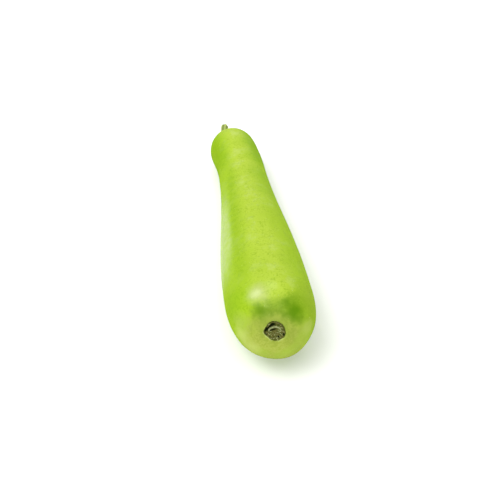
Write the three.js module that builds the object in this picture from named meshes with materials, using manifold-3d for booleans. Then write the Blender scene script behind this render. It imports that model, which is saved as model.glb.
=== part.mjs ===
// A bottle gourd, picked with its stem on, lying on its side.
//
// Millimetres, +Z up. The fruit lies along Y, with the blossom end towards -Y and the stem end towards +Y.
// It touches the surface, z = 0, at two small flat spots, under the belly and under the end of the neck.
// Its three pieces are the fruit, the stem that it hung by, and the dry, corky base of its flower.
//
// Each piece starts as a turned shape, a lathe profile round a straight axis. A relief function then gives
// that shape its lobes, ridges and torn edges, and its axis is bent to the curve that the piece grew along.

import * as THREE from "three";
import { mergeVertices } from "three/addons/utils/BufferGeometryUtils.js";
import Module from "manifold-3d";

const wasm = await Module();
wasm.setup();

// Fruit: lengths are stations along the axis, counted from the blossom end
const FRUIT_LENGTH = 363;
const BELLY_RADIUS = 43;
const NECK_RADIUS = 29.4;
const TAPER_START = 74;
const TAPER_END = 280;
const COLLAR_SWELL = 0.6;
const COLLAR_WIDTH = 23;

// Both ends are rounded off as superellipses: how far back the rounding starts, and how square it is
const BLOSSOM_END = { length: 72, power: 3.6 };
const STEM_END = { length: 34, power: 2.5 };

// Axis of the fruit: the belly and the end of the neck rest on the surface, the blossom end lifts clear of
// it, and the stem end drifts to one side
const BELLY_STATION = 105;
const COLLAR_STATION = 336;
const BELLY_HEIGHT = 41.3;
const COLLAR_HEIGHT = 29.4;
const BLOSSOM_LIFT = 20;
const LIFT_LENGTH = 128;
const LIFT_POWER = 2.5;
const SWAY = 1.5;
const STEM_DRIFT = -10.8;
const DRIFT_START = 277;

// The face at the blossom end is a little askew: how steeply, the side on which it stands forward, and how
// far back along the fruit that reaches. Its edge has faint lobes
const FACE_SLOPE = 0.13;
const FACE_DIRECTION = -0.65;
const FACE_LENGTH = 80;
const SHOULDER_LOBE = 0.35;

// Puckered hollow at the stem end, with grooves that run out between its lobes
const HOLLOW_DEPTH = 5.5;
const HOLLOW_FLOOR = 6.5;
const HOLLOW_RADIUS = 19;
const GROOVE_COUNT = 5;
const GROOVE_DEPTH = 3.4;
const GROOVE_ANGLE = 0.17;
const GROOVE_REACH = 21;
const GROOVE_TURN = 0.5;

// Stem: five-ribbed, thick where it enters the fruit, cut square at its free end, where its pith has sunk in
const STEM_LENGTH = 47;
const STEM_ROOT_DEPTH = 3.5;
const STEM_ROOT_RADIUS = 5.9;
const STEM_RADIUS = 4.1;
const STEM_TIP_RADIUS = 4.6;
const STEM_RIB = 0.085;
const STEM_SIDE_BEND = 10.4;
const STEM_RISE = 0;
const PITH_RADIUS = 1.9;
const PITH_DEPTH = 1.6;

// Dry base of the flower, in a pit of its own: a torn corky rim, half a ring inside it, and fibres that run
// in to the middle. A trough gapes between the rim and the ring, and a slit has opened just inside the ring
const REMNANT_RADIUS = 8.8;
const REMNANT_PIT_DEPTH = 4;
const PIT_LIP = 0.3;
const REMNANT_RING = { height: 0.5, share: 0.56, width: 0.075, turn: 1.5, spread: 1.6 };
const REMNANT_TROUGH = { depth: 2.7, turn: 2.35, spread: 1.15 };
const REMNANT_SLIT = { depth: 2.2, turn: 2.2, spread: 0.7 };
const REMNANT_FIBRES = 15;
const REMNANT_FIBRE_HEIGHT = 0.3;
const REMNANT_RIM_WAVE = 0.35;
const REMNANT_SHIFT = -2;

// Clearance between pieces that touch
const GAP = 0.3;

// Facets
const FRUIT_SIDES = 60;
const STEM_SIDES = 20;
const REMNANT_SIDES = 60;
const FACE_RINGS = 12;
const BODY_RINGS = 20;
const SHOULDER_RINGS = 9;
const HOLLOW_RINGS = 5;
const STEM_RINGS = 14;

const { PI, atan2, cos, exp, hypot, max, min, sin } = Math;
const clamp01 = (t) => min(1, max(0, t));
const smoothstep = (from, to, x) => {
  const t = clamp01((x - from) / (to - from));
  return t * t * (3 - 2 * t);
};
const range = (count) => Array.from({ length: count }, (_, i) => i);

// Radius of the fruit between its two rounded ends
function bodyRadius(station) {
  const taper = smoothstep(TAPER_START, TAPER_END, station);
  const collar = exp(-(((station - COLLAR_STATION) / COLLAR_WIDTH) ** 2));
  return BELLY_RADIUS + (NECK_RADIUS - BELLY_RADIUS) * taper + COLLAR_SWELL * collar;
}

// How far behind its pole a rounded end lies, at a share of the radius where the rounding starts
const domeFall = (end, share) => end.length * (1 - (1 - min(1, share) ** end.power) ** (1 / end.power));

// A ring of a rounded end: turn is 0 at the pole and PI / 2 where the rounding meets the body
function domeRing(end, turn) {
  const share = sin(turn) ** (2 / end.power);
  return { share, fall: domeFall(end, share) };
}

// How far the hollow round the stem sinks the stem end, at a radius
const hollow = (radius) => HOLLOW_DEPTH * (1 - smoothstep(HOLLOW_FLOOR, HOLLOW_RADIUS, radius));

// Centre line of the fruit at a station, as a point and the direction of growth
function fruitAxis(station) {
  const at = (s) => {
    const along = (s - BELLY_STATION) / (COLLAR_STATION - BELLY_STATION);
    const lift = BLOSSOM_LIFT * max(0, 1 - s / LIFT_LENGTH) ** LIFT_POWER;
    const drift = STEM_DRIFT * max(0, (s - DRIFT_START) / (FRUIT_LENGTH - DRIFT_START)) ** 2;
    const sway = SWAY * sin(PI * clamp01(s / FRUIT_LENGTH));
    return new THREE.Vector3(sway + drift, s, BELLY_HEIGHT + (COLLAR_HEIGHT - BELLY_HEIGHT) * along + lift);
  };
  const step = 0.5;
  const tangent = at(station + step).sub(at(station - step)).normalize();
  return { point: at(station), tangent };
}

// Turns a profile of [radius, station] pairs, shapes it by a relief function and bends it along an axis
function grow(profile, sides, axis, relief) {
  const points = profile.map(([radius, station]) => new THREE.Vector2(radius, station));
  const geometry = new THREE.LatheGeometry(points, sides);
  const position = geometry.attributes.position;
  const up = new THREE.Vector3(0, 0, 1);
  for (let i = 0; i < position.count; i++) {
    const turn = atan2(position.getZ(i), position.getX(i));
    const shaped = relief(hypot(position.getX(i), position.getZ(i)), position.getY(i), turn);
    const { point, tangent } = axis(shaped.station);
    const side = new THREE.Vector3().crossVectors(tangent, up).normalize();
    const top = new THREE.Vector3().crossVectors(side, tangent);
    point.addScaledVector(side, shaped.radius * cos(turn) + (shaped.shift ?? 0));
    point.addScaledVector(top, shaped.radius * sin(turn));
    position.setXYZ(i, point.x, point.y, point.z);
  }
  geometry.deleteAttribute("normal");
  geometry.deleteAttribute("uv");
  return mergeVertices(geometry, 1e-3);
}

// Torn outline of the dry flower base and of its pit, as a share of the radius
const tornEdge = (turn) =>
  1 + 0.04 * sin(turn + 1.5) + 0.035 * sin(2 * turn + 2.65) + 0.03 * sin(3 * turn + 3.85) +
  0.026 * sin(4 * turn + 1.7) + 0.034 * sin(5 * turn + 4.3) + 0.012 * sin(13 * turn + 4);

// Five rounded ribs of the stem, as a share of its radius
const ribs = (turn) => 1 + STEM_RIB * cos(5 * turn);

// How far a groove has cut in at an angle: 1 along its bottom, 0 on the lobes
function groove(turn) {
  const spacing = (2 * PI) / GROOVE_COUNT;
  const off = ((((turn - GROOVE_TURN) % spacing) + 1.5 * spacing) % spacing) - spacing / 2;
  return exp(-((off / GROOVE_ANGLE) ** 2));
}

// Rings of the fruit's profile as [radius, station], in four stretches from the blossom end to the stem end
function blossomPitRings() {
  const pit = REMNANT_RADIUS + GAP;
  const face = (radius) => domeFall(BLOSSOM_END, radius / BELLY_RADIUS);
  return [
    [0, REMNANT_PIT_DEPTH],
    [pit * 0.5, REMNANT_PIT_DEPTH],
    [pit, REMNANT_PIT_DEPTH],
    [pit, face(pit) + 0.7],
    [pit + 0.5, face(pit) - PIT_LIP],
    [pit + 2.4, face(pit + 2.4) - PIT_LIP * 0.7],
  ];
}

function blossomEndRings() {
  return range(FACE_RINGS + 1).map((i) => {
    const { share, fall } = domeRing(BLOSSOM_END, (PI / 2) * (0.115 + (0.885 * i) / FACE_RINGS));
    return [bodyRadius(fall) * share, fall];
  });
}

function bodyRings() {
  const length = FRUIT_LENGTH - BLOSSOM_END.length - STEM_END.length;
  return range(BODY_RINGS - 1).map((i) => {
    const station = BLOSSOM_END.length + (length * (i + 1)) / BODY_RINGS;
    return [bodyRadius(station), station];
  });
}

function stemEndRings() {
  const shoulder = range(SHOULDER_RINGS).map((i) => {
    const { share, fall } = domeRing(STEM_END, (PI / 2) * (1 - i / (SHOULDER_RINGS + 1)));
    const station = FRUIT_LENGTH - fall;
    const radius = bodyRadius(station) * share;
    return [radius, station - hollow(radius)];
  });
  const base = bodyRadius(FRUIT_LENGTH - STEM_END.length);
  const surface = (radius) => FRUIT_LENGTH - domeFall(STEM_END, radius / base) - hollow(radius);
  const socket = STEM_ROOT_RADIUS + GAP;
  const inward = range(HOLLOW_RINGS).map((i) => {
    const radius = shoulder.at(-1)[0] + ((socket - shoulder.at(-1)[0]) * (i + 1)) / (HOLLOW_RINGS + 1);
    return [radius, surface(radius)];
  });
  const floor = surface(socket) - STEM_ROOT_DEPTH;
  return [...shoulder, ...inward, [socket, surface(socket)], [socket, floor], [0, floor]];
}

const fruitProfile = [...blossomPitRings(), ...blossomEndRings(), ...bodyRings(), ...stemEndRings()];
const socketFloor = fruitProfile.at(-1)[1];

// How the face at the blossom end stands forward on one side, and is set over to the other
function faceRelief(radius, station, turn) {
  const nearFace = 1 - smoothstep(0, FACE_LENGTH, station);
  return {
    forward: FACE_SLOPE * radius * cos(turn - FACE_DIRECTION) * nearFace,
    shift: station < BLOSSOM_END.length ? REMNANT_SHIFT * (1 - smoothstep(12, 36, radius)) : 0,
  };
}

// Lobes of the fruit, the torn edge of its blossom pit and the grooves of its stem end
function fruitRelief(radius, station, turn) {
  const atBlossomEnd = station < BLOSSOM_END.length ? 1 : 0;
  const atStemEnd = station > FRUIT_LENGTH - STEM_END.length ? 1 : 0;
  const nearPit = atBlossomEnd * (1 - smoothstep(REMNANT_RADIUS + 1.5, REMNANT_RADIUS + 8, radius));
  const offSocket = smoothstep(HOLLOW_FLOOR, HOLLOW_FLOOR + 3, radius);
  const offShoulder = 1 - smoothstep(GROOVE_REACH - 8, GROOVE_REACH + 6, radius);
  const edges = 1 + (tornEdge(turn) - 1) * nearPit + (ribs(turn) - 1) * atStemEnd * (1 - offSocket);
  const uneven = 0.006 * sin(2 * turn + station / 55) + 0.005 * sin(3 * turn - station / 80);
  const onShoulder = exp(-(((station - 14) / 12) ** 2)) * smoothstep(20, 34, radius);
  const face = faceRelief(radius, station, turn);
  return {
    radius:
      radius * (edges + uneven * smoothstep(14, 26, radius)) +
      SHOULDER_LOBE * sin(5 * turn + 0.9) * onShoulder,
    station: station - GROOVE_DEPTH * groove(turn) * atStemEnd * offSocket * offShoulder - face.forward,
    shift: face.shift,
  };
}

// The part of a piece above the surface that it lies on
function flattenUnderneath(geometry) {
  const toSolid = (g) =>
    new wasm.Manifold(
      new wasm.Mesh({
        numProp: 3,
        vertProperties: g.attributes.position.array,
        triVerts: new Uint32Array(g.index.array),
      })
    );
  const slab = new THREE.BoxGeometry(4 * BELLY_RADIUS, 3 * FRUIT_LENGTH, BELLY_RADIUS);
  slab.translate(0, FRUIT_LENGTH / 2, -BELLY_RADIUS / 2);
  slab.deleteAttribute("normal");
  slab.deleteAttribute("uv");
  const mesh = toSolid(geometry).subtract(toSolid(mergeVertices(slab))).getMesh();
  const flattened = new THREE.BufferGeometry();
  flattened.setAttribute("position", new THREE.BufferAttribute(mesh.vertProperties, 3));
  flattened.setIndex(new THREE.BufferAttribute(mesh.triVerts, 1));
  return flattened;
}

// Stem: along its own curve, from the floor of the socket to the cut end
function stemGeometry() {
  const root = fruitAxis(socketFloor + GAP);
  const straight = STEM_ROOT_DEPTH + HOLLOW_DEPTH;
  const end = root.point.clone().addScaledVector(root.tangent, STEM_LENGTH);
  end.x += STEM_SIDE_BEND;
  end.z += STEM_RISE;
  const curve = new THREE.CubicBezierCurve3(
    root.point,
    root.point.clone().addScaledVector(root.tangent, straight),
    root.point.clone().addScaledVector(root.tangent, STEM_LENGTH * 0.62),
    end
  );
  const axis = (station) => {
    const u = clamp01(station / STEM_LENGTH);
    return { point: curve.getPointAt(u), tangent: curve.getTangentAt(u) };
  };
  const radiusAt = (station) => {
    const flare = (STEM_ROOT_RADIUS - STEM_RADIUS) * (1 - smoothstep(STEM_ROOT_DEPTH, 20, station));
    const tip = (STEM_TIP_RADIUS - STEM_RADIUS) * smoothstep(STEM_LENGTH - 16, STEM_LENGTH - 1, station);
    return STEM_RADIUS + flare + tip;
  };
  const wall = range(STEM_RINGS + 1).map((i) => {
    const station = ((STEM_LENGTH - 0.6) * i) / STEM_RINGS;
    return [radiusAt(station), station];
  });
  const cutFace = [
    [STEM_TIP_RADIUS - 0.5, STEM_LENGTH],
    [PITH_RADIUS + 0.5, STEM_LENGTH - 0.2],
    [PITH_RADIUS, STEM_LENGTH - PITH_DEPTH * 0.6],
    [0, STEM_LENGTH - PITH_DEPTH],
  ];
  const relief = (radius, station, turn) => ({ radius: radius * ribs(turn), station });
  return grow([[0, 0], ...wall, ...cutFace], STEM_SIDES, axis, relief);
}

// Dry flower base: sits in its pit, GAP clear of the floor and the wall
function remnantGeometry() {
  const back = REMNANT_PIT_DEPTH - GAP;
  const front = [
    [0, 0.6],
    [0.16, 0.5],
    [0.3, 0.3],
    [0.4, 0.3],
    [0.48, 0.3],
    [0.56, 0.3],
    [0.64, 0.3],
    [0.72, 0.3],
    [0.8, 0.2],
    [0.88, -0.15],
    [0.94, -0.4],
    [1, 0.3],
  ].map(([share, station]) => [REMNANT_RADIUS * share, station]);
  const profile = [...front, [REMNANT_RADIUS, back - 0.8], [REMNANT_RADIUS - 0.6, back], [0, back]];
  const within = (from, to, x) => smoothstep(from, from + 0.1, x) * (1 - smoothstep(to - 0.1, to, x));
  const arc = (form, turn) => {
    const off = turn - form.turn;
    return exp(-((atan2(sin(off), cos(off)) / form.spread) ** 4));
  };
  const relief = (radius, station, turn) => {
    const share = radius / REMNANT_RADIUS;
    const ringAt = REMNANT_RING.share + 0.07 * cos(turn - 0.2);
    const ring = exp(-(((share - ringAt) / REMNANT_RING.width) ** 4)) * arc(REMNANT_RING, turn);
    const inTrough = within(ringAt + 0.04, 0.93, share) * arc(REMNANT_TROUGH, turn);
    const inSlit = within(ringAt - 0.32, ringAt - 0.05, share) * arc(REMNANT_SLIT, turn);
    const onFibres = within(0.2, 0.93, share) * (1 - inTrough) * (1 - inSlit) * (1 - ring);
    const sunk = REMNANT_TROUGH.depth * inTrough + REMNANT_SLIT.depth * inSlit - REMNANT_RING.height * ring;
    const fibres = REMNANT_FIBRE_HEIGHT * cos(REMNANT_FIBRES * turn + 0.4) * onFibres;
    const torn = REMNANT_RIM_WAVE * sin(7 * turn + 1.3) * smoothstep(0.85, 0.93, share);
    const onFront = station < 1 ? 1 : 0;
    const face = faceRelief(radius, station, turn);
    return {
      radius: radius * (1 + (tornEdge(turn) - 1) * smoothstep(0.5, 0.95, share)),
      station: station + onFront * (sunk + fibres + torn) - face.forward,
      shift: face.shift,
    };
  };
  return grow(profile, REMNANT_SIDES, fruitAxis, relief);
}

function piece(name, geometry, color, roughness) {
  const mesh = new THREE.Mesh(geometry, new THREE.MeshStandardMaterial({ color, roughness, metalness: 0 }));
  mesh.name = name;
  return mesh;
}

const fruitGeometry = flattenUnderneath(grow(fruitProfile, FRUIT_SIDES, fruitAxis, fruitRelief));

const gourd = new THREE.Group();
gourd.add(piece("fruit", fruitGeometry, 0xa6cf3a, 0.38));
gourd.add(piece("stem", stemGeometry(), 0x9aae4c, 0.7));
gourd.add(piece("dried_blossom", remnantGeometry(), 0x55502c, 0.9));

// The origin is on the surface, under the middle of the whole gourd
const box = new THREE.Box3().setFromObject(gourd);
const middle = box.getCenter(new THREE.Vector3());
gourd.position.set(-middle.x, -middle.y, -box.min.z);

export default gourd;
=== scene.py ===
"""Looks of a bottle gourd: its skin, its stem and the dry base of its flower, on a white studio floor.

The gourd lies along Y, with its blossom end towards -Y. Every piece starts as a blank, turned ring by ring round
a straight axis. The blank is smoothed, shaped as the thing grew, and bent to its centre line. Lengths are in
metres, and stations are lengths along a centre line, from the blossom end or from the root of the stem.
"""

import logging
import math
from dataclasses import dataclass, field
from enum import Enum
from typing import Any

import bmesh
import bpy
import numpy as np
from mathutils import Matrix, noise


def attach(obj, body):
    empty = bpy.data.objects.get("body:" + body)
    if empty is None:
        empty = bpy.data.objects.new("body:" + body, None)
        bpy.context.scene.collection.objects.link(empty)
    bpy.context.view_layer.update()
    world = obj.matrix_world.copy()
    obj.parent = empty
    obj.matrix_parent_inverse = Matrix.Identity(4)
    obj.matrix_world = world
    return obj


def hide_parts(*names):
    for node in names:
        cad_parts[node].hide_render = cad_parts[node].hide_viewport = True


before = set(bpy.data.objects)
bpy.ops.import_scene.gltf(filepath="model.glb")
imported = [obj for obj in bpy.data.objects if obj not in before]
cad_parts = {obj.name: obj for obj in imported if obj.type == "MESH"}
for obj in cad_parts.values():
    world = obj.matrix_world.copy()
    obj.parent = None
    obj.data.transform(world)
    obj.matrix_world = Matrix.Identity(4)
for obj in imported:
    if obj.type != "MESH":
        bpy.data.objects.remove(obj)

MM = 0.001
SUBDIVISIONS = 2
LOG = logging.getLogger("bottle_gourd")

Array = np.ndarray
Colour = tuple[float, float, float]
Point = tuple[float, float, float]
Ring = tuple[float, float]
Span = tuple[float, float]
Wave = tuple[float, int, float]


class Node(Enum):
    """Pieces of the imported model."""

    FRUIT = "fruit"
    STEM = "stem"
    DRIED_BLOSSOM = "dried_blossom"


class Slot(Enum):
    """Material slots of the record."""

    SKIN = "skin"
    STEM = "stem"
    CORK = "cork"


class Mark(Enum):
    """What a mesh tells its material about each of its points."""

    CREASE = "crease"
    TOP = "top"
    FLANK = "painted_flank_shade"
    SHINY_SIDE = "shiny_side"
    # painted highlight on the lower left of the pit's lip
    LIP = "lip"
    RIB = "rib"
    ALONG = "along"
    CUT = "cut"
    # depth carries painted shade into the cork's gaps
    DEPTH = "depth"
    FIBRE = "fibre"
    RING = "ring"


# ---- shapes


def smoothstep(start: float, end: float, x: Array) -> Array:
    """Eases the values of x from 0 at start to 1 at end."""
    t = np.clip((np.asarray(x, float) - start) / (end - start), 0, 1)
    return t * t * (3 - 2 * t)


def bell(x: Array, middle: float | Array, width: float, power: int = 2) -> Array:
    """Rises to 1 at a middle and falls to about a third a width away. A higher power makes the top flatter."""
    return np.exp(-(((x - middle) / width) ** power))


def angle_from(turn: Array, middle: float) -> Array:
    """Gives the angle from a direction, between minus and plus half a turn."""
    return np.arctan2(np.sin(turn - middle), np.cos(turn - middle))


def ripple(turn: Array, waves: tuple[Wave, ...]) -> Array:
    """Adds up waves round an axis, given by their size, how many go round, and where they start."""
    return sum(size * np.sin(count * turn + start) for size, count, start in waves)


def dome_fall(length: float, power: float, share: Array) -> Array:
    """Tells how far a rounded end falls behind its pole, at a share of the radius where the rounding starts."""
    return length * (1 - (1 - np.minimum(1, share) ** power) ** (1 / power))


@dataclass
class Blank:
    """Points of a turned blank, by radius, station and turn round its axis."""

    radius: Array
    station: Array
    turn: Array
    shift: Array | float = 0.0


class CentreLine:
    """A line that a piece grew along."""

    def points(self, station: Array) -> Array:
        """Gives the points of the line at some stations."""
        raise NotImplementedError

    def tangents(self, station: Array) -> Array:
        """Gives the directions of growth at some stations."""
        step = 0.5 * MM
        along = self.points(station + step) - self.points(station - step)
        return along / np.linalg.norm(along, axis=1)[:, None]

    def bend(self, blank: Blank) -> Array:
        """Places a blank's points round the line.

        Args:
            blank: the points of the straight blank.

        Returns:
            Their places, one row a point.
        """
        tangent = self.tangents(blank.station)
        side = np.cross(tangent, (0.0, 0.0, 1.0))
        side /= np.linalg.norm(side, axis=1)[:, None]
        top = np.cross(side, tangent)
        across = blank.radius * np.cos(blank.turn) + blank.shift
        upward = blank.radius * np.sin(blank.turn)
        return self.points(blank.station) + side * across[:, None] + top * upward[:, None]


@dataclass(frozen=True)
class FruitLine(CentreLine):
    """Centre line of the fruit: rests under the belly and the neck, lifts at the blossom end, drifts at the stem."""

    length: float = 363 * MM
    belly_station: float = 105 * MM
    collar_station: float = 336 * MM
    belly_height: float = 41.3 * MM
    collar_height: float = 29.4 * MM
    blossom_lift: float = 20 * MM
    lift_length: float = 128 * MM
    lift_power: float = 2.5
    sway: float = 1.5 * MM
    stem_drift: float = -10.8 * MM
    drift_start: float = 277 * MM
    origin: Point = (-0.713 * MM, -195.864 * MM, 0.0)

    def points(self, station: Array) -> Array:
        """Gives the points of the line at some stations."""
        s = np.asarray(station, float)
        along = (s - self.belly_station) / (self.collar_station - self.belly_station)
        lift = self.blossom_lift * np.maximum(0, 1 - s / self.lift_length) ** self.lift_power
        past = np.maximum(0, (s - self.drift_start) / (self.length - self.drift_start))
        sway = self.sway * np.sin(math.pi * np.clip(s / self.length, 0, 1))
        height = self.belly_height + (self.collar_height - self.belly_height) * along + lift
        return np.stack([sway + self.stem_drift * past**2, s, height], -1) + self.origin


@dataclass(frozen=True)
class StemLine(CentreLine):
    """Centre line of the stem: straight out of the fruit, then over to one side."""

    root: Array
    growth: Array
    length: float = 47 * MM
    straight: float = 9 * MM
    rise_share: float = 0.62
    side_bend: float = 10.4 * MM
    samples: int = 400

    def curve(self, t: Array) -> Array:
        """Gives the points of the line at some shares of its parameter."""
        start = self.root + self.growth * self.straight
        rise = self.root + self.growth * self.rise_share * self.length
        rows = (self.root, start, rise, self.root + self.growth * self.length + (self.side_bend, 0.0, 0.0))
        t = t[:, None]
        weights = ((1 - t) ** 3, 3 * t * (1 - t) ** 2, 3 * t**2 * (1 - t), t**3)
        return sum(weight * row for weight, row in zip(weights, rows))

    def points(self, station: Array) -> Array:
        """Gives the points of the line at some stations, evenly along it."""
        fine = np.linspace(0, 1, self.samples)
        walk = np.linalg.norm(np.diff(self.curve(fine), axis=0), axis=1)
        share = np.concatenate([[0.0], np.cumsum(walk)]) / walk.sum()
        wanted = np.asarray(station, float) / self.length
        inside = self.curve(np.interp(np.clip(wanted, 0, 1), share, fine))
        return inside + (wanted - np.clip(wanted, 0, 1))[:, None] * self.length * self.growth


class TurnedPiece:
    """A piece that starts as a blank, turned ring by ring, and is then smoothed, shaped and bent."""

    def __init__(self, node: Node, rings: list[Ring], sides: int) -> None:
        """Turns and smooths the blank: a disc at the first ring, pulled out from ring to ring, closed at the last.

        Args:
            node: the CAD node that the piece stands for.
            rings: radius and station of each ring, none of them on the axis.
            sides: how many sides a ring has.
        """
        self.node = node
        self.sides = sides
        radius, station = rings[0]
        bpy.ops.object.select_all(action="DESELECT")
        bpy.ops.mesh.primitive_circle_add(
            vertices=sides, radius=radius, fill_type="TRIFAN", location=(0, station, 0), rotation=(math.pi / 2, 0, 0)
        )
        self.object = bpy.context.object
        self.object.name = self.object.data.name = f"{node.value}_grown"
        bpy.ops.object.transform_apply(location=True, rotation=True, scale=True)
        bpy.ops.object.mode_set(mode="EDIT")
        bpy.ops.mesh.select_mode(type="EDGE")
        self._select_rim()
        for next_radius, next_station in rings[1:]:
            self._pull(next_station - station, next_radius / radius, next_station)
            radius, station = next_radius, next_station
        bpy.ops.mesh.extrude_edges_move()
        bpy.ops.mesh.merge(type="CENTER")
        bpy.ops.mesh.select_all(action="SELECT")
        bpy.ops.mesh.normals_make_consistent(inside=False)
        bpy.ops.object.mode_set(mode="OBJECT")
        self._smooth()

    def _select_rim(self) -> None:
        """Selects the open edge of the blank."""
        mesh = bmesh.from_edit_mesh(self.object.data)
        for edge in mesh.edges:
            edge.select_set(edge.is_boundary)
        mesh.select_flush_mode()
        bmesh.update_edit_mesh(self.object.data)

    @staticmethod
    def _pull(distance: float, scale: float, station: float) -> None:
        """Pulls the open edge a distance along the axis and scales it, which makes the next ring, at its station."""
        bpy.ops.mesh.extrude_edges_move(TRANSFORM_OT_translate={"value": (0, distance, 0)})
        bpy.ops.transform.resize(value=(scale, 1, scale), center_override=(0, station, 0))

    def _smooth(self) -> None:
        """Subdivides the blank, and makes good the width that its rings lose by that."""
        modifier = self.object.modifiers.new("Smooth", "SUBSURF")
        modifier.levels = modifier.render_levels = SUBDIVISIONS
        bpy.ops.object.modifier_apply(modifier=modifier.name)
        loss = (2 + math.cos(2 * math.pi / self.sides)) / 3
        self.object.data.transform(((1 / loss, 0, 0, 0), (0, 1, 0, 0), (0, 0, 1 / loss, 0), (0, 0, 0, 1)))

    def roughen(self, size: float, strength: float) -> None:
        """Gives the finished shape faint, uneven swellings.

        Args:
            size: how far apart the swellings are.
            strength: how far they rise and sink in all.
        """
        texture = bpy.data.textures.new(f"{self.node.value}_swellings", "CLOUDS")
        texture.noise_scale = size
        modifier = self.object.modifiers.new("Swellings", "DISPLACE")
        modifier.texture = texture
        modifier.texture_coords = "LOCAL"
        modifier.strength = strength
        modifier.mid_level = 0.5
        bpy.ops.object.modifier_apply(modifier=modifier.name)

    def read(self) -> Blank:
        """Reads the points of the straight blank by radius, station and turn."""
        co = self.places()
        return Blank(np.hypot(co[:, 0], co[:, 2]), co[:, 1].copy(), np.arctan2(co[:, 2], co[:, 0]))

    def grain(self, size: float) -> Array:
        """Gives a random value at each point, between about -0.5 and 0.5, with swings of a size."""
        return np.array([noise.noise(vertex.co / size) for vertex in self.object.data.vertices])

    def places(self) -> Array:
        """Gives the places of the points, one row a point."""
        co = np.empty(len(self.object.data.vertices) * 3)
        self.object.data.vertices.foreach_get("co", co)
        return co.reshape(-1, 3)

    def place(self, co: Array) -> None:
        """Moves the points to their places."""
        self.object.data.vertices.foreach_set("co", co.ravel())
        self.object.data.update()

    def mark(self, mark: Mark, values: Array) -> None:
        """Writes a value at each point, for the material to read."""
        attribute = self.object.data.attributes.new(mark.value, "FLOAT", "POINT")
        attribute.data.foreach_set("value", np.asarray(values, np.float32))

    def dress(self, slot: Slot, material: bpy.types.Material) -> None:
        """Gives the piece its finish, and puts it in the place of its CAD node.

        Args:
            slot: the record's material slot.
            material: the finish.
        """
        self.object.data.materials.clear()
        self.object.data.materials.append(material)
        bpy.ops.object.select_all(action="DESELECT")
        self.object.select_set(True)
        bpy.context.view_layer.objects.active = self.object
        bpy.ops.object.shade_smooth()
        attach(self.object, "root")
        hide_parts(self.node.value)
        LOG.info("%s: %d faces, slot %s", self.object.name, len(self.object.data.polygons), slot.value)


# ---- finishes


class Value:
    """A number in a shader, which Python's operators turn into Math nodes."""

    def __init__(self, tree: "ShaderTree", socket: bpy.types.NodeSocket) -> None:
        """Wraps an output socket."""
        self.tree = tree
        self.socket = socket

    def _math(self, operation: str, *values: Any) -> "Value":
        """Adds a Math node for an operation on some values, and gives its result."""
        node = self.tree.node("ShaderNodeMath", {"operation": operation}, dict(enumerate(values)))
        return Value(self.tree, node.outputs[0])

    def __add__(self, other: "Value | float") -> "Value":
        """Adds."""
        return self._math("ADD", self, other)

    __radd__ = __add__

    def __sub__(self, other: "Value | float") -> "Value":
        """Subtracts."""
        return self._math("SUBTRACT", self, other)

    def __rsub__(self, other: float) -> "Value":
        """Subtracts from a number."""
        return self._math("SUBTRACT", other, self)

    def __mul__(self, other: "Value | float") -> "Value":
        """Multiplies."""
        return self._math("MULTIPLY", self, other)

    __rmul__ = __mul__

    def ease(self, low: float, high: float) -> "Value":
        """Eases from 0 at low to 1 at high.

        Args:
            low: where the result leaves 0.
            high: where it reaches 1. It may be below low.

        Returns:
            The eased value.
        """
        falling = high < low
        ends = (high, low) if falling else (low, high)
        node = self.tree.node(
            "ShaderNodeMapRange",
            {"interpolation_type": "SMOOTHSTEP"},
            {"Value": self, "From Min": ends[0], "From Max": ends[1]},
        )
        eased = Value(self.tree, node.outputs["Result"])
        return 1 - eased if falling else eased


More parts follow.
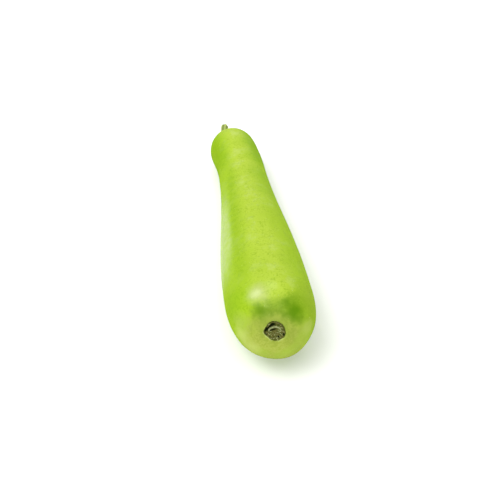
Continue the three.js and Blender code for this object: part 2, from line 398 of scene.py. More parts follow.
class ShaderTree:
    """Node tree of one material."""

    def __init__(self, name: str) -> None:
        """Starts a material with a Principled shader."""
        self.material = bpy.data.materials.new(name)
        self.material.use_nodes = True
        self.tree = self.material.node_tree
        self.shader = self.tree.nodes["Principled BSDF"]
        self.here = self.node("ShaderNodeTexCoord", {}, {}).outputs["Object"]

    def node(self, kind: str, settings: dict[str, Any], sockets: dict[Any, Any]) -> bpy.types.Node:
        """Adds a node.

        Args:
            kind: its type.
            settings: its own settings, set first.
            sockets: values or links of its inputs, by name or number.

        Returns:
            The node.
        """
        node = self.tree.nodes.new(kind)
        for name, setting in settings.items():
            setattr(node, name, setting)
        for name, value in sockets.items():
            self.feed(node.inputs[name], value)
        return node

    def feed(self, socket: bpy.types.NodeSocket, value: Any) -> None:
        """Links or sets an input.

        Args:
            socket: the input.
            value: a wrapped or plain output to link, or a number or tuple to set.
        """
        if isinstance(value, Value):
            value = value.socket
        if isinstance(value, bpy.types.NodeSocket):
            self.tree.links.new(value, socket)
        elif isinstance(value, tuple) and socket.type == "RGBA":
            socket.default_value = (*value, 1.0)
        else:
            socket.default_value = value

    def attribute(self, mark: Mark) -> Value:
        """Reads what the mesh says about this point."""
        node = self.node("ShaderNodeAttribute", {"attribute_name": mark.value}, {})
        return Value(self, node.outputs["Fac"])

    def noise(self, scale: float, detail: float, roughness: float = 0.5, squeeze: float = 1.0) -> Value:
        """Adds a noise.

        Args:
            scale: its cells a metre.
            detail: how many finer layers it has.
            roughness: how strong those are.
            squeeze: how many cells there are along Y for one across it. Below 1, they are long.

        Returns:
            Its value, round 0.5.
        """
        place = self.here
        if squeeze != 1.0:
            sockets = {"Vector": place, "Scale": (1.0, squeeze, 1.0)}
            place = self.node("ShaderNodeMapping", {}, sockets).outputs["Vector"]
        sockets = {"Vector": place, "Scale": scale, "Detail": detail, "Roughness": roughness}
        return Value(self, self.node("ShaderNodeTexNoise", {}, sockets).outputs["Fac"])

    def cells(self, scale: float) -> tuple[Value, Value]:
        """Adds scattered cells.

        Args:
            scale: cells a metre.

        Returns:
            The distance from the nearest cell's middle, in cells, and that cell's random number, from 0 to 1.
        """
        node = self.node("ShaderNodeTexVoronoi", {}, {"Vector": self.here, "Scale": scale})
        parts = self.node("ShaderNodeSeparateColor", {}, {0: node.outputs["Color"]})
        return Value(self, node.outputs["Distance"]), Value(self, parts.outputs[0])

    def distance(self, centre: Point) -> Value:
        """Gives the distance from a point of the object."""
        node = self.node("ShaderNodeVectorMath", {"operation": "DISTANCE"}, {0: self.here, 1: centre})
        return Value(self, node.outputs["Value"])

    def mix(self, factor: Any, first: Any, second: Any) -> bpy.types.NodeSocket:
        """Mixes two colours or links, by a factor of 0 for the first and 1 for the second."""
        node = self.node("ShaderNodeMix", {"data_type": "RGBA"}, {0: factor, 6: first, 7: second})
        return node.outputs[2]

    def bump(self, height: Value, distance: float, strength: float) -> bpy.types.NodeSocket:
        """Gives the normal of a bump: its height from 0 to 1, how far out 1 stands, and how much of it shows."""
        sockets = {"Height": height, "Distance": distance, "Strength": strength}
        return self.node("ShaderNodeBump", {}, sockets).outputs["Normal"]

    def finish(self, **sockets: Any) -> bpy.types.Material:
        """Sets the shader's inputs, named with underscores for spaces.

        Args:
            sockets: a value or link for each input.

        Returns:
            The finished material.
        """
        for name, value in sockets.items():
            self.feed(self.shader.inputs[name.replace("_", " ")], value)
        return self.material


class Tint(Enum):
    """Colours of the soft-edged patches on the skin: the skin's own tones, a painted highlight, painted shade and
    painted shadow.
    """

    # painted shade: the dark band between the highlight and the blossom face
    SHADE = (0.075, 0.19, 0.0005)
    OLIVE = (0.20, 0.28, 0.032)
    # a pale chalky tone of the skin, which also paints the highlight under the glint
    CHALK = (0.42, 0.46, 0.17)
    STRAW = (0.46, 0.55, 0.13)
    FRESH = (0.33, 0.48, 0.05)
    # painted shadow down the right side of the neck, and painted shade on the left of the belly
    LEAF = (0.17, 0.36, 0.004)


@dataclass(frozen=True)
class Blot:
    """A soft-edged patch on the skin: its middle and its reach, both in millimetres, its strength and its colour."""

    centre: Point
    reach: float
    strength: float
    # a patch with no tint of its own is painted shade
    tint: Tint = Tint.SHADE
    core: float = 0.15

    def over(self, tree: ShaderTree, colour: bpy.types.NodeSocket, wander: Value) -> bpy.types.NodeSocket:
        """Paints the patch over a colour.

        Args:
            tree: the material's nodes.
            colour: the colour so far.
            wander: how far the patch's edge wanders off.

        Returns:
            The colour with the patch on it.
        """
        distance = tree.distance(tuple(part * MM for part in self.centre)) + wander
        inside = distance.ease(self.reach * MM, self.reach * self.core * MM)
        return tree.mix(inside * self.strength, colour, self.tint.value)


@dataclass(frozen=True)
class SkinFinish:
    """Smooth waxy skin: lime green, with painted light on top and painted shade along its sides; dull round the
    blossom end.
    """

    lime: Colour = (0.30, 0.46, 0.018)
    # painted light: the colour of the top stripe
    pale: Colour = (0.39, 0.52, 0.045)
    # dark green of the random mottle, and the painted shade along the sides and the neck
    leaf_and_shade: Colour = (0.20, 0.355, 0.005)
    # pale colour of the flecks and scuffs, and of the painted sheen on the glossy side and the painted highlight on
    # the pit's lip
    cream_and_sheen: Colour = (0.50, 0.59, 0.19)
    dull: Colour = (0.28, 0.335, 0.050)
    dull_pale: Colour = (0.375, 0.415, 0.078)
    # painted shade in the stem end's grooves, in the pit's corner and round the stem's socket
    crease: Colour = (0.10, 0.13, 0.010)
    face_centre: Point = (-3 * MM, -200 * MM, 57 * MM)
    face_reach: float = 39 * MM
    face_core: float = 18 * MM
    fleck_cells: float = 300
    bump_height: float = 0.12 * MM
    blots: tuple[Blot, ...] = (
        # painted highlight: a whitish patch where the glint falls
        Blot((-15, -168, 89.5), 15, 0.5, Tint.CHALK),
        Blot((-5, -194, 73), 25, 0.65, Tint.OLIVE),
        Blot((17, -199, 62), 14, 0.4, Tint.OLIVE),
        Blot((32, -172, 78), 27, 0.3, Tint.OLIVE),
        Blot((30, -191, 66), 19, 0.25, Tint.OLIVE),
        Blot((-8, -202, 44), 9, 0.2, Tint.OLIVE),
        Blot((-31, -182, 65), 14, 0.2, Tint.CHALK),
        Blot((-31, -187, 54), 14, 0.65, Tint.STRAW),
        Blot((-23, -197, 47), 12, 0.55, Tint.STRAW),
        Blot((-12, -204, 43.5), 12, 0.5, Tint.FRESH),
        Blot((1, -206, 43), 13, 0.5, Tint.FRESH),
        Blot((12, -205, 46), 10, 0.4, Tint.FRESH),
        Blot((24, -199, 57), 12, 0.45, Tint.FRESH),
        Blot((28.5, -194, 66), 9, 0.35, Tint.STRAW),
        # painted shadow down the right side of the neck, then painted shade on the left of the belly
        Blot((12, 118, 57), 21, 0.3, Tint.LEAF),
        Blot((17, 85, 56), 25, 0.28, Tint.LEAF),
        Blot((18, 45, 60), 27, 0.28, Tint.LEAF),
        Blot((18.5, 8, 65), 24, 0.2, Tint.LEAF),
        Blot((-37, -160, 71), 23, 0.3, Tint.LEAF),
        # painted shade: patches of the dark band between the highlight and the blossom face
        Blot((18.5, -184.5, 82), 21, 0.45),
        Blot((16.5, -187, 81.5), 11.5, 0.78),
        Blot((17.7, -191.5, 75.6), 9, 0.45),
        Blot((15.5, -178, 88), 12, 0.42),
        Blot((7, -183.5, 85.7), 11, 0.5),
        Blot((-1, -183, 85.8), 11, 0.45),
        Blot((-11, -184, 83.3), 12, 0.6),
        Blot((-17, -183, 82), 10, 0.4),
    )

    def material(self) -> bpy.types.Material:
        """Makes the skin's material."""
        tree = ShaderTree("gourd_skin")
        bands = tree.noise(55, 2, squeeze=0.15)
        clouds = tree.noise(34, 3)
        mottle = tree.noise(160, 4, 0.6)
        grain = tree.noise(620, 2)
        scuffs = tree.noise(48, 5, 0.65)
        top = tree.attribute(Mark.TOP)
        painted_flank_shade = tree.attribute(Mark.FLANK)
        tone = bands * 0.35 + clouds * 0.3 + mottle * 0.5 + grain * 0.25 - 0.7
        # painted light: paler along the top stripe, broken up by the random tone
        colour = tree.mix((top + tone * 2.4).ease(0.0, 1.1), self.lime, self.pale)
        # painted shade along the sides and on the neck
        colour = tree.mix((painted_flank_shade + tone * 1.6).ease(0.25, 1.1) * 0.8, colour, self.leaf_and_shade)
        colour = tree.mix((grain * 0.6 + mottle * 0.4).ease(0.47, 0.63) * 0.58, colour, self.leaf_and_shade)
        colour = tree.mix((scuffs + tone * 0.5).ease(0.5, 0.75) * (top * 0.3 + 0.06), colour, self.cream_and_sheen)
        shiny = tree.attribute(Mark.SHINY_SIDE)
        shiny = (shiny + ((clouds - 0.5) * 0.9 + tone) * shiny.ease(0.0, 0.3)).ease(0.05, 1.0)
        # painted sheen: paler on the glossy left side of the belly
        colour = tree.mix(shiny * (mottle.ease(0.35, 0.65) * 0.2 + 0.1), colour, self.cream_and_sheen)

        from_face = tree.distance(self.face_centre) + (clouds - 0.5) * 0.02 + (mottle - 0.5) * 0.012
        dull = tree.mix((mottle * 0.5 + grain * 0.5).ease(0.38, 0.62), self.dull, self.dull_pale)
        colour = tree.mix(from_face.ease(self.face_reach, self.face_core) * 0.85, colour, dull)
        wander = (mottle - 0.5) * 0.009 + (clouds - 0.5) * 0.012
        for blot in self.blots:
            colour = blot.over(tree, colour, wander)
        # painted highlight along the lower left of the pit's lip
        colour = tree.mix(tree.attribute(Mark.LIP) * mottle.ease(0.35, 0.55) * 0.8, colour, self.cream_and_sheen)

        near, chosen = tree.cells(self.fleck_cells)
        flecks = near.ease(0.2, 0.08) * chosen.ease(0.7, 0.9)
        colour = tree.mix(flecks * 0.35, colour, self.cream_and_sheen)
        # painted shade in the creases
        crease = tree.attribute(Mark.CREASE)
        colour = tree.mix(crease * 0.85, colour, self.crease)

        height = grain * 0.3 + mottle * 0.5 + flecks * 0.4
        return tree.finish(
            Base_Color=colour,
            Roughness=0.46 + mottle * 0.16 + crease * 0.2,
            Normal=tree.bump(height, self.bump_height, 0.6),
            Specular_IOR_Level=0.0,
            Coat_Weight=(0.04 + top * 0.13 + shiny * 0.62) * (1 - crease * 0.9),
            Coat_Roughness=0.27,
        )


@dataclass(frozen=True)
class StemFinish:
    """Dry olive stem, pale along its ribs, with a brown cut end."""

    rib: Colour = (0.35, 0.42, 0.10)
    furrow: Colour = (0.16, 0.22, 0.030)
    root: Colour = (0.28, 0.40, 0.04)
    cut: Colour = (0.34, 0.30, 0.13)
    pith: Colour = (0.06, 0.05, 0.02)
    bump_height: float = 0.3 * MM

    def material(self) -> bpy.types.Material:
        """Makes the stem's material."""
        tree = ShaderTree("stem_bark")
        fibres = tree.noise(1500, 3, squeeze=0.07)
        spots = tree.noise(420, 3)
        along = tree.attribute(Mark.ALONG)
        cut = tree.attribute(Mark.CUT)
        rib = (tree.attribute(Mark.RIB) * 0.5 + 0.5 + (fibres - 0.5) * 0.9).ease(0.2, 0.9)
        colour = tree.mix(rib, self.furrow, self.rib)
        colour = tree.mix(along.ease(0.4, 0.12) * 0.7, colour, self.root)
        colour = tree.mix(spots.ease(0.58, 0.7) * 0.4, colour, self.cut)
        colour = tree.mix(cut.ease(0.2, 0.6), colour, self.cut)
        colour = tree.mix(cut.ease(0.75, 0.95), colour, self.pith)
        return tree.finish(
            Base_Color=colour,
            Roughness=0.62 + fibres * 0.2,
            Normal=tree.bump(fibres + spots * 0.5, self.bump_height, 0.6),
            Specular_IOR_Level=0.1,
        )


@dataclass(frozen=True)
class CorkFinish:
    """Dry brown cork, with pale fibres, a grey-green ring, and painted shade, near black, in its gaps."""

    cork: Colour = (0.105, 0.098, 0.020)
    fibre: Colour = (0.33, 0.37, 0.15)
    furrow: Colour = (0.045, 0.075, 0.006)
    ring: Colour = (0.36, 0.41, 0.19)
    # painted shade in the deep trough, the slit and the holes
    gap: Colour = (0.010, 0.018, 0.001)
    bump_height: float = 0.4 * MM

    def material(self) -> bpy.types.Material:
        """Makes the cork's material."""
        tree = ShaderTree("dry_cork")
        grain = tree.noise(700, 4, 0.6)
        depth = tree.attribute(Mark.DEPTH)
        fibre = tree.attribute(Mark.FIBRE)
        rise = fibre + (grain - 0.5) * 4.2
        colour = tree.mix(rise.ease(0.15, 0.9) * 0.9, self.cork, self.fibre)
        colour = tree.mix(rise.ease(-0.15, -0.75) * 0.9, colour, self.furrow)
        colour = tree.mix(tree.attribute(Mark.RING) * (grain * 1.8 - 0.1), colour, self.ring)
        # painted shade: near black where the front sinks deepest
        colour = tree.mix((depth + (grain - 0.5) * 0.3).ease(0.12, 0.5), colour, self.gap)
        return tree.finish(
            Base_Color=colour,
            Roughness=0.82 + grain * 0.15,
            Normal=tree.bump(grain + fibre * 0.3, self.bump_height, 0.8),
            Specular_IOR_Level=0.1,
        )


@dataclass(frozen=True)
class FloorFinish:
    """Smooth white paper."""

    paper: Colour = (0.93, 0.93, 0.93)
    shade: Colour = (0.90, 0.90, 0.90)

    def material(self) -> bpy.types.Material:
        """Makes the floor's material."""
        tree = ShaderTree("studio_paper")
        return tree.finish(Base_Color=tree.mix(tree.noise(3, 2), self.paper, self.shade), Roughness=0.9)


# ---- pieces


@dataclass(frozen=True)
class SkinPattern:
    """Where light and shade are painted on the skin and where it is glossier, by station and by turn: 0 on the right,
    a quarter turn on top.

    A stripe or stretch is given by its middle and width, and the rest by where it starts and where it is full.
    """

    top_stripe: Span = (1.6, 0.6)
    left_stripe: Span = (2.2, 0.36)
    left_strength: float = 0.68
    right_stripe: Span = (0.75, 0.4)
    right_strength: float = 0.4
    neck_stripe: Span = (1.65, 0.55)
    belly_begins: Span = (22 * MM, 50 * MM)
    neck_begins: Span = (230 * MM, 300 * MM)
    underside_begins: Span = (1.7, 2.6)
    underside_fade: float = 0.4
    gloss_begins: Span = (2.2, 2.6)
    gloss_ends: Span = (3.1, 4.1)
    gloss_stretch: Span = (130 * MM, 85 * MM)
    gloss_tip: Span = (35 * MM, 90 * MM)
    lip_stripe: Span = (0.6 * MM, 0.45 * MM)
    lip_turn: float = -2.2
    lip_spread: float = 1.5
    blossom_end: float = 80 * MM

    def lay(self, piece: TurnedPiece, blank: Blank, pit_radius: float) -> None:
        """Marks the pattern on the fruit.

        Args:
            piece: the fruit.
            blank: the points of the turned blank.
            pit_radius: the radius of the pit at the blossom end.
        """
        turn, station = blank.turn, blank.station
        from_top = np.abs(turn - math.pi / 2)
        from_top = np.minimum(from_top, 2 * math.pi - from_top)
        past_left = (turn + math.pi / 2) % (2 * math.pi) - math.pi / 2
        on_neck = smoothstep(*self.neck_begins, station)
        left = bell(past_left, *self.left_stripe) * (1 - on_neck) * self.left_strength
        right = bell(past_left, *self.right_stripe) * self.right_strength
        neck = on_neck * (1 - bell(past_left, *self.neck_stripe))
        shown = smoothstep(*self.belly_begins, station)
        shown = shown * (1 - self.underside_fade * smoothstep(*self.underside_begins, from_top))
        gloss = smoothstep(*self.gloss_begins, past_left) * (1 - smoothstep(*self.gloss_ends, past_left))
        gloss_length = bell(station, *self.gloss_stretch) * smoothstep(*self.gloss_tip, station)
        lip = bell(blank.radius - pit_radius, *self.lip_stripe) * (station < self.blossom_end)
        # the top stripe: painted light in the skin's colour, and more coat
        piece.mark(Mark.TOP, bell(past_left, *self.top_stripe))
        # painted shade along the sides and the neck
        piece.mark(Mark.FLANK, np.maximum(left + right, neck) * shown)
        # the glossy side: more coat, and a painted sheen
        piece.mark(Mark.SHINY_SIDE, gloss * gloss_length)
        # painted highlight along the lower left of the pit's lip
        piece.mark(Mark.LIP, lip * bell(angle_from(turn, self.lip_turn), 0, self.lip_spread, 4))


@dataclass
class Fruit:
    """The fruit: a long club with a rounded blossom end, a neck, and a hollow round the stem.

    Its unevenness is given as waves: their size, how many go round, and the length in which they twist by a radian.
    """

    line: FruitLine = field(default_factory=FruitLine)
    belly_radius: float = 43 * MM
    neck_radius: float = 29.4 * MM
    taper: Span = (74 * MM, 280 * MM)
    collar_swell: float = 0.6 * MM
    collar_width: float = 23 * MM
    blossom_length: float = 72 * MM
    blossom_power: float = 3.6
    stem_length: float = 34 * MM
    stem_power: float = 2.5
    face_slope: float = 0.13
    face_direction: float = -0.65
    face_length: float = 80 * MM
    scar_shift: float = -2 * MM
    shift_reach: Span = (12 * MM, 36 * MM)
    lobes: int = 5
    shoulder_lobe: float = 0.35 * MM
    shoulder_turn: float = 0.9
    shoulder_stretch: Span = (14 * MM, 12 * MM)
    shoulder_reach: Span = (20 * MM, 34 * MM)
    unevenness: tuple[Wave, ...] = ((0.006, 2, 55 * MM), (0.005, 3, -80 * MM))
    uneven_reach: Span = (14 * MM, 26 * MM)
    swelling_size: float = 22 * MM
    swelling_height: float = 0.35 * MM
    hollow_depth: float = 5.5 * MM
    hollow_floor: float = 6.5 * MM
    hollow_radius: float = 19 * MM
    groove_depth: float = 3.4 * MM
    groove_angle: float = 0.17
    groove_start: float = 9.5 * MM
    groove_end: Span = (13 * MM, 27 * MM)
    groove_turn: float = 0.5
    pit_radius: float = 9.1 * MM
    pit_depth: float = 4 * MM
    pit_corner: float = 0.4 * MM
    pit_wall_top: float = 0.7 * MM
    lip_height: float = 0.3 * MM
    lip_crest: float = 0.5 * MM
    lip_width: float = 2.4 * MM
    lip_fall: float = 0.7
    torn_reach: Span = (1.2 * MM, 7.7 * MM)
    socket_radius: float = 6.2 * MM
    socket_depth: float = 3.5 * MM
    socket_shade: float = 5 * MM
    sides: int = 60
    face_start: float = 0.115
    face_rings: int = 12
    body_rings: int = 20
    shoulder_rings: int = 9
    hollow_rings: int = 5

    def body_radius(self, station: Array) -> Array:
        """Gives the radius between the rounded ends at some stations."""
        taper = smoothstep(*self.taper, station)
        collar = bell(station, self.line.collar_station, self.collar_width)
        return self.belly_radius + (self.neck_radius - self.belly_radius) * taper + self.collar_swell * collar

    def hollow(self, radius: Array) -> Array:
        """Tells how far the hollow round the stem sinks at a radius."""
        return self.hollow_depth * (1 - smoothstep(self.hollow_floor, self.hollow_radius, radius))

    def socket_floor(self) -> float:
        """Gives the station that the stem's root stands on."""
        return float(self.stem_face(self.socket_radius)) - self.socket_depth

    def stem_face(self, radius: Array) -> Array:
        """Gives the station of the stem end's surface at a radius."""
        base = self.body_radius(self.line.length - self.stem_length)
        fall = dome_fall(self.stem_length, self.stem_power, radius / base)
        return self.line.length - fall - self.hollow(radius)

    def blossom_rings(self) -> list[Ring]:
        """Gives the rings from the pit's floor over its lip and out to the belly."""
        pit, floor, corner = self.pit_radius, self.pit_depth, self.pit_corner

        def face(share: float) -> float:
            """Gives the station of the blossom end's surface at a share of the belly's radius."""
            return float(dome_fall(self.blossom_length, self.blossom_power, share))

        edge, lip_end = face(pit / self.belly_radius), pit + self.lip_width
        rings = [
            (pit * 0.5, floor),
            (pit - corner, floor),
            (pit, floor - corner),
            (pit, edge + self.pit_wall_top),
            (pit + self.lip_crest, edge - self.lip_height),
            (lip_end, face(lip_end / self.belly_radius) - self.lip_height * self.lip_fall),
        ]
        for i in range(self.face_rings + 1):
            turn = math.pi / 2 * (self.face_start + (1 - self.face_start) * i / self.face_rings)
            share = math.sin(turn) ** (2 / self.blossom_power)
            rings.append((float(self.body_radius(face(share))) * share, face(share)))
        return rings

    def middle_rings(self) -> list[Ring]:
        """Gives the rings of the belly and the neck."""
        length = self.line.length - self.blossom_length - self.stem_length
        stations = [self.blossom_length + length * i / self.body_rings for i in range(1, self.body_rings)]
        return [(float(self.body_radius(station)), station) for station in stations]

    def stem_rings(self) -> list[Ring]:
        """Gives the rings over the shoulder, down into the hollow and into the stem's socket."""
        rings = []
        for i in range(self.shoulder_rings):
            share = math.sin(math.pi / 2 * (1 - i / (self.shoulder_rings + 1))) ** (2 / self.stem_power)
            station = self.line.length - float(dome_fall(self.stem_length, self.stem_power, share))
            radius = float(self.body_radius(station)) * share
            rings.append((radius, station - float(self.hollow(radius))))
        for i in range(self.hollow_rings):
            radius = rings[self.shoulder_rings - 1][0]
            radius += (self.socket_radius - radius) * (i + 1) / (self.hollow_rings + 1)
            rings.append((radius, float(self.stem_face(radius))))
        edge, floor = float(self.stem_face(self.socket_radius)), self.socket_floor()
        return rings + [(self.socket_radius, edge), (self.socket_radius, floor), (self.socket_radius * 0.5, floor)]

    def groove(self, turn: Array) -> Array:
        """Tells how far a groove has cut in at an angle: 1 along its bottom, 0 on the lobes."""
        spacing = 2 * math.pi / self.lobes
        return bell((turn - self.groove_turn + spacing / 2) % spacing, spacing / 2, self.groove_angle)

    @staticmethod
    def torn_edge(turn: Array) -> Array:
        """Gives the torn outline of the pit and of the dry flower base, as a share of the radius."""
        waves = ((0.04, 1, 1.5), (0.035, 2, 2.65), (0.03, 3, 3.85), (0.026, 4, 1.7), (0.034, 5, 4.3), (0.012, 13, 4.0))
        ragged = ((0.009, 19, 0.7), (0.008, 27, 2.9), (0.006, 37, 5.1))
        return 1 + ripple(turn, waves + ragged)

    def face_forward(self, blank: Blank) -> Array:
        """Tells how far the askew face at the blossom end stands forward at each point."""
        near = 1 - smoothstep(0, self.face_length, blank.station)
        return self.face_slope * blank.radius * np.cos(blank.turn - self.face_direction) * near

    def face_shift(self, blank: Blank) -> Array:
        """Tells how far the scar's surroundings are set over to one side at each point."""
        near = 1 - smoothstep(*self.shift_reach, blank.radius)
        return np.where(blank.station < self.blossom_length, self.scar_shift * near, 0.0)

    def shape(self, blank: Blank) -> tuple[Blank, Array]:
        """Shapes the lobes, the torn edge of the pit and the grooves.

        Args:
            blank: the points of the turned blank.

        Returns:
            The shaped points, and how creased the skin is at each.
        """
        radius, station, turn = blank.radius, blank.station, blank.turn
        at_blossom = station < self.blossom_length
        at_stem = station > self.line.length - self.stem_length
        off_pit, off_socket = radius - self.pit_radius, radius - self.socket_radius
        in_groove = self.groove(turn) * at_stem
        in_groove = in_groove * smoothstep(self.hollow_floor, self.groove_start, radius)
        in_groove = in_groove * (1 - smoothstep(*self.groove_end, radius))
        edges = 1 + (self.torn_edge(turn) - 1) * at_blossom * (1 - smoothstep(*self.torn_reach, off_pit))
        uneven = sum(size * np.sin(count * turn + station / twist) for size, count, twist in self.unevenness)
        on_shoulder = bell(station, *self.shoulder_stretch) * smoothstep(*self.shoulder_reach, radius)
        shaped = Blank(
            radius * (edges + uneven * smoothstep(*self.uneven_reach, radius))
            + self.shoulder_lobe * np.sin(self.lobes * turn + self.shoulder_turn) * on_shoulder,
            station - self.groove_depth * in_groove - self.face_forward(blank),
            turn,
            self.face_shift(blank),
        )
        # the crease carries painted shade into the grooves, the pit's corner and round the stem's socket
        lip = at_blossom * (1 - smoothstep(0, self.pit_corner, off_pit))
        socket = at_stem * (1 - smoothstep(0, self.socket_shade, off_socket))
        return shaped, np.clip(in_groove**2 * 0.8 + lip + socket, 0, 1)

    def build(self) -> None:
        """Builds the fruit and dresses it in its skin."""
        piece = TurnedPiece(Node.FRUIT, self.blossom_rings() + self.middle_rings() + self.stem_rings(), self.sides)
        blank = piece.read()
        SkinPattern().lay(piece, blank, self.pit_radius)
        shaped, crease = self.shape(blank)
        piece.mark(Mark.CREASE, crease)
        piece.place(self.line.bend(shaped))
        piece.roughen(self.swelling_size, self.swelling_height)
        above_floor = piece.places()
        above_floor[:, 2] = np.maximum(above_floor[:, 2], 0)
        piece.place(above_floor)
        piece.dress(Slot.SKIN, SkinFinish().material())


@dataclass
class Stem:
    """The stem: five-ribbed, wide at its root and at its cut end, where the pith has sunk in.

    The profiles of its cut end give the distance from the wall or the pith's edge, and the drop from the very end.
    """

    fruit: Fruit
    length: float = 47 * MM
    root_depth: float = 3.5 * MM
    root_radius: float = 5.9 * MM
    radius: float = 4.1 * MM
    tip_radius: float = 4.6 * MM
    root_flare_end: float = 20 * MM
    tip_flare: Span = (16 * MM, 1 * MM)
    ribs: int = 5
    rib: float = 0.085
    wall_end: float = 1.4 * MM
    edge_width: float = 0.5 * MM
    cut_stretch: float = 3 * MM
    cut_profile: tuple[Span, ...] = ((0.1 * MM, 0.7 * MM), (0.6 * MM, 0.15 * MM), (1.3 * MM, 0.0))
    pith_profile: tuple[Span, ...] = ((0.4 * MM, 0.2 * MM), (0.0, 0.5 * MM))
    pith_radius: float = 1.9 * MM
    pith_depth: float = 1.6 * MM
    gap: float = 0.3 * MM
    sides: int = 40
    wall_rings: int = 18

    def wall_radius(self, station: float) -> float:
        """Gives the radius of the wall at a station."""
        flare = (self.root_radius - self.radius) * (1 - smoothstep(self.root_depth, self.root_flare_end, station))
        tip_start, tip_end = (self.length - before for before in self.tip_flare)
        tip = (self.tip_radius - self.radius) * smoothstep(tip_start, tip_end, station)
        return float(self.radius + flare + tip)

    def rings(self) -> list[Ring]:
        """Gives the rings from the root to the sunken pith."""
        stations = [(self.length - self.wall_end) * i / self.wall_rings for i in range(self.wall_rings + 1)]
        wall = [(self.wall_radius(station), station) for station in stations]
        cut = [(self.tip_radius - inset, self.length - drop) for inset, drop in self.cut_profile]
        pith = [(self.pith_radius + outset, self.length - drop) for outset, drop in self.pith_profile]
        floor = [(self.pith_radius * share, self.length - self.pith_depth) for share in (0.9, 0.4)]
        return [(self.root_radius * 0.5, 0.0), *wall, *cut, *pith, *floor]

    def build(self) -> None:
        """Builds the stem and dresses it."""
        root = np.array([self.fruit.socket_floor() + self.gap])
        line = StemLine(self.fruit.line.points(root)[0], self.fruit.line.tangents(root)[0], self.length)
        piece = TurnedPiece(Node.STEM, self.rings(), self.sides)
        blank = piece.read()
        ribs = np.cos(self.ribs * blank.turn)
        at_tip = blank.station > self.length - self.cut_stretch
        inner = blank.radius < self.tip_radius - self.edge_width
        over_edge = smoothstep(self.length - self.edge_width, self.length - self.edge_width * 0.2, blank.station)
        hollowness = 1 - smoothstep(self.pith_radius, self.pith_radius + self.edge_width, blank.radius)
        piece.mark(Mark.RIB, ribs)
        piece.mark(Mark.ALONG, blank.station / self.length)
        piece.mark(Mark.CUT, at_tip * inner * (0.65 + 0.35 * hollowness) + (1 - inner) * over_edge * 0.5)
        fine = ripple(blank.turn, ((0.012, 17, 1.1), (0.008, 29, blank.station / (20 * MM))))
        blank.radius = blank.radius * (1 + self.rib * ribs + fine)
        piece.place(line.bend(blank))
        piece.dress(Slot.STEM, StemFinish().material())


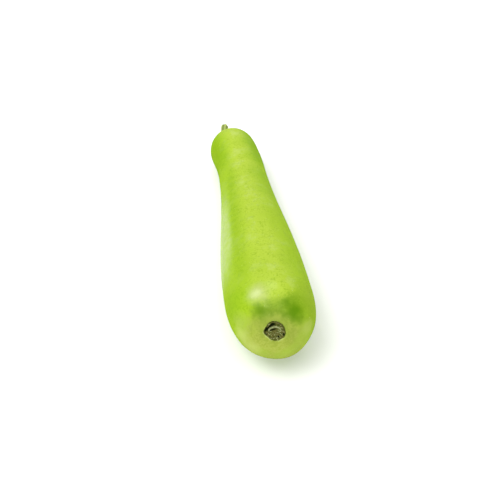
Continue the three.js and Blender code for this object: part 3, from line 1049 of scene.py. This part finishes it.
@dataclass
class DriedBlossom:
    """The dry base of the flower: a torn rim, half a ring inside it, and fibres that run in to the middle.

    Places on its front are given by turn and by share of its radius. A hole has a turn, a share and a width.
    """

    fruit: Fruit
    radius: float = 8.8 * MM
    gap: float = 0.3 * MM
    front_depth: float = 1 * MM
    trough_depth: float = 2.7 * MM
    trough_edge: Span = (0.05, 0.13)
    gape_turn: float = 2.35
    gape_spread: float = 1.15
    dark_spread: float = 0.9
    rim_share: float = 0.86
    rim_edge: float = 0.05
    rim_begins: Span = (0.86, 0.93)
    rim_wave: float = 0.45 * MM
    torn_begins: Span = (0.5, 0.95)
    spur_turn: float = 2.95
    spur_size: float = 0.09
    spur_spread: float = 0.4
    ring_share: float = 0.53
    ring_waves: tuple[Wave, ...] = ((0.07, 2, math.pi / 2), (0.02, 1, math.pi / 2 - 0.2), (0.012, 5, 0.0))
    ring_width: float = 0.07
    ring_height: float = 0.5 * MM
    ring_turn: float = 1.6
    ring_spread: float = 1.5
    slit: tuple[Span, Span] = ((-0.42, 0.07), (0.06, 0.2))
    slit_edge: Span = (0.035, 0.12)
    slit_depth: float = 2.2 * MM
    grain_size: float = 2.2 * MM
    fibres: int = 15
    fine_fibres: int = 31
    fibres_begin: Span = (0.1, 0.3)
    fibre_height: float = 0.35 * MM
    holes: tuple[tuple[float, float, float], ...] = ((-1.05, 0.74, 0.1), (-0.42, 0.92, 0.11), (3.5, 0.92, 0.1))
    hole_depth: float = 2 * MM
    back_round: Span = (0.6 * MM, 0.8 * MM)
    sides: int = 60
    profile: tuple[Span, ...] = (
        (0.08, 0.6), (0.16, 0.5), (0.23, 0.4), (0.3, 0.3), (0.36, 0.3), (0.42, 0.3), (0.46, 0.3), (0.5, 0.3),
        (0.54, 0.3), (0.58, 0.3), (0.62, 0.3), (0.66, 0.3), (0.71, 0.3), (0.76, 0.3), (0.8, 0.2), (0.85, 0.05),
        (0.89, -0.2), (0.93, -0.4), (0.965, -0.3), (1.0, 0.3),
    )  # fmt: skip

    def rings(self) -> list[Ring]:
        """Gives the rings from the middle of the front over the rim to the back."""
        back = self.fruit.pit_depth - self.gap
        inset, rise = self.back_round
        front = [(self.radius * share, station * MM) for share, station in self.profile]
        return front + [(self.radius, back - rise), (self.radius - inset, back), (self.radius * 0.5, back)]

    def from_slit(self, share: Array, turn: Array) -> Array:
        """Gives the distance from the slit inside the ring.

        Args:
            share: radius of each point, as a share of the whole radius.
            turn: its turn round the axis.

        Returns:
            The distance, as a share of the whole radius.
        """
        start, end = np.array(self.slit)
        point = np.stack([share * np.cos(turn), share * np.sin(turn)], -1)
        along = np.clip((point - start) @ (end - start) / np.sum((end - start) ** 2), 0, 1)
        return np.linalg.norm(point - start - along[:, None] * (end - start), axis=1)

    def sunk(self, share: Array, turn: Array, in_trough: Array, in_slit: Array) -> Array:
        """Tells how far the front sinks.

        Args:
            share: radius of each point, as a share of the whole radius.
            turn: its turn round the axis.
            in_trough: 1 where it is in the trough between the ring and the rim.
            in_slit: 1 where it is in the slit inside the ring.

        Returns:
            The depth of each point.
        """
        depth = self.trough_depth * in_trough + self.slit_depth * in_slit
        for hole_turn, hole_share, width in self.holes:
            away = np.hypot(share - hole_share, share * angle_from(turn, hole_turn))
            depth = np.maximum(depth, self.hole_depth * bell(away, 0, width))
        return depth

    def build(self) -> None:
        """Builds the dry flower base and dresses it."""
        piece = TurnedPiece(Node.DRIED_BLOSSOM, self.rings(), self.sides)
        blank = piece.read()
        turn, share = blank.turn, blank.radius / self.radius
        grain = piece.grain(self.grain_size)
        on_front = blank.station < self.front_depth
        from_gape = angle_from(turn, self.gape_turn)
        gape = bell(from_gape, 0, self.gape_spread, 4)
        dark = bell(from_gape, 0, self.dark_spread, 4)
        spur = self.spur_size * bell(angle_from(turn, self.spur_turn), 0, self.spur_spread, 4)
        ring_at = self.ring_share + ripple(turn, self.ring_waves)
        ring = bell(share, ring_at, self.ring_width, 4)
        ring = ring * bell(angle_from(turn, self.ring_turn), 0, self.ring_spread, 6)
        in_trough = smoothstep(*self.trough_edge, share - ring_at) * gape
        in_trough = in_trough * (1 - smoothstep(0, self.rim_edge, share - self.rim_share - spur))
        in_slit = 1 - smoothstep(*self.slit_edge, self.from_slit(share, turn) + 0.04 * grain)
        # the trough on the far side of the gape is painted dark green, not near black
        green_trough = in_trough * (1 - dark) * (from_gape < 0)
        sunk = self.sunk(share, turn, in_trough, in_slit)

        wander = turn + 0.25 * grain
        fibre = 0.65 * np.cos(self.fibres * wander + 0.4) + 0.35 * np.cos(self.fine_fibres * wander + 2 + 6 * share)
        on_fibres = smoothstep(*self.fibres_begin, share) * (1 - in_trough) * (1 - in_slit) * (1 - ring)
        on_rim = smoothstep(*self.rim_begins, share)
        torn = ripple(turn, ((1.0, 7, 1.3), (0.6, 17, 0.4))) + 1.2 * grain
        raised = self.fibre_height * (fibre + grain) * on_fibres * (1 - on_rim) + self.rim_wave * torn * on_rim
        # the depth carries painted shade into the trough, the slit and the holes, but not into the trough on its green
        # side
        piece.mark(Mark.DEPTH, on_front * (sunk / self.trough_depth - in_trough * (1 - dark)))
        piece.mark(Mark.FIBRE, fibre * on_fibres * (1 - 0.5 * on_rim) - green_trough)
        piece.mark(Mark.RING, on_front * ring)
        shaped = Blank(
            blank.radius * (1 + (self.fruit.torn_edge(turn) - 1) * smoothstep(*self.torn_begins, share)),
            blank.station + on_front * (sunk + raised - self.ring_height * ring) - self.fruit.face_forward(blank),
            turn,
            self.fruit.face_shift(blank),
        )
        piece.place(self.fruit.line.bend(shaped))
        piece.dress(Slot.CORK, CorkFinish().material())


# ---- studio


@dataclass(frozen=True)
class Lamp:
    """A wide distant light: the direction that it shines from, its strength, and how many degrees wide it looks."""

    name: str
    source: Point
    strength: float
    spread: float
    only_gloss: bool = False

    def hang(self) -> None:
        """Hangs the lamp."""
        bpy.ops.object.light_add(type="SUN", location=tuple(2 * part for part in self.source))
        lamp = bpy.context.object
        lamp.name = self.name
        lamp.data.energy = self.strength
        lamp.data.angle = math.radians(self.spread)
        lamp.visible_diffuse = not self.only_gloss
        east, north, up = self.source
        down = math.acos(up / math.hypot(east, north, up))
        lamp.rotation_euler = (down, 0, math.atan2(north, east) + math.pi / 2)


@dataclass
class Studio:
    """White floor, soft light from the upper left and behind, and a camera that looks down on the gourd."""

    floor_radius: float = 3.5
    floor_sides: int = 64
    floor_gap: float = 0.05 * MM
    sweep: float = 2.5
    sweep_steps: int = 8
    camera_place: Point = (-0.06911, -0.54636, 0.50813)
    camera_down: float = 43.75
    camera_turn: float = -7.17
    camera_lens: float = 45.36
    camera_sensor: float = 36.0
    surround: float = 0.6
    lamps: tuple[Lamp, ...] = (
        Lamp("key_light", (-0.45, -0.15, 0.88), 1.1, 35.0),
        Lamp("sky_light", (-0.16, -0.22, 1.0), 1.42, 72.0),
        Lamp("glint_light", (-0.62, 0.29, 0.728), 6.6, 22.0, only_gloss=True),
        Lamp("streak_light", (-0.04, 0.5, 0.866), 1.9, 28.0, only_gloss=True),
    )

    def lay_floor(self) -> None:
        """Lays the floor, a large round sheet of paper, and curves it up into a low wall all round."""
        bpy.ops.object.select_all(action="DESELECT")
        bpy.ops.mesh.primitive_circle_add(
            vertices=self.floor_sides,
            radius=self.floor_radius,
            fill_type="NGON",
            location=(0, 0, -self.floor_gap),
        )
        floor = bpy.context.object
        floor.name = "floor"
        bpy.ops.object.mode_set(mode="EDIT")
        bpy.ops.mesh.select_mode(type="EDGE")
        angles = [math.pi / 2 * i / self.sweep_steps for i in range(self.sweep_steps + 1)]
        for start, end in zip(angles, angles[1:]):
            rise = self.sweep * (math.cos(start) - math.cos(end))
            inner, outer = (self.floor_radius + self.sweep * math.sin(angle) for angle in (start, end))
            bpy.ops.mesh.extrude_edges_move(TRANSFORM_OT_translate={"value": (0, 0, rise)})
            bpy.ops.transform.resize(value=(outer / inner, outer / inner, 1), center_override=(0, 0, 0))
        bpy.ops.object.mode_set(mode="OBJECT")
        bpy.ops.object.shade_smooth()
        floor.data.materials.append(FloorFinish().material())
        LOG.info("floor: %.0f m wide", 2 * self.floor_radius)

    def light(self) -> None:
        """Lights the scene."""
        world = bpy.data.worlds.new("studio_surround")
        world.use_nodes = True
        background = world.node_tree.nodes["Background"]
        background.inputs["Color"].default_value = (1.0, 1.0, 1.0, 1.0)
        background.inputs["Strength"].default_value = self.surround
        bpy.context.scene.world = world
        for lamp in self.lamps:
            lamp.hang()
        bpy.context.scene.view_settings.view_transform = "Standard"
        LOG.info("lights: %s", ", ".join(lamp.name for lamp in self.lamps))

    def set_camera(self) -> None:
        """Sets the camera."""
        rotation = (math.radians(90 - self.camera_down), 0, math.radians(self.camera_turn))
        bpy.ops.object.camera_add(location=self.camera_place, rotation=rotation)
        camera = bpy.context.object
        camera.name = "camera"
        camera.data.sensor_width = self.camera_sensor
        camera.data.sensor_fit = "HORIZONTAL"
        camera.data.lens = self.camera_lens
        bpy.context.scene.camera = camera
        LOG.info("camera: %.2f mm lens", self.camera_lens)


def main() -> None:
    """Builds the studio and the gourd."""
    logging.basicConfig(level=logging.INFO, format="%(message)s")
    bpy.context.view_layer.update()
    studio = Studio()
    studio.set_camera()
    studio.light()
    studio.lay_floor()
    fruit = Fruit()
    fruit.build()
    Stem(fruit).build()
    DriedBlossom(fruit).build()


if __name__ == "__main__":
    main()
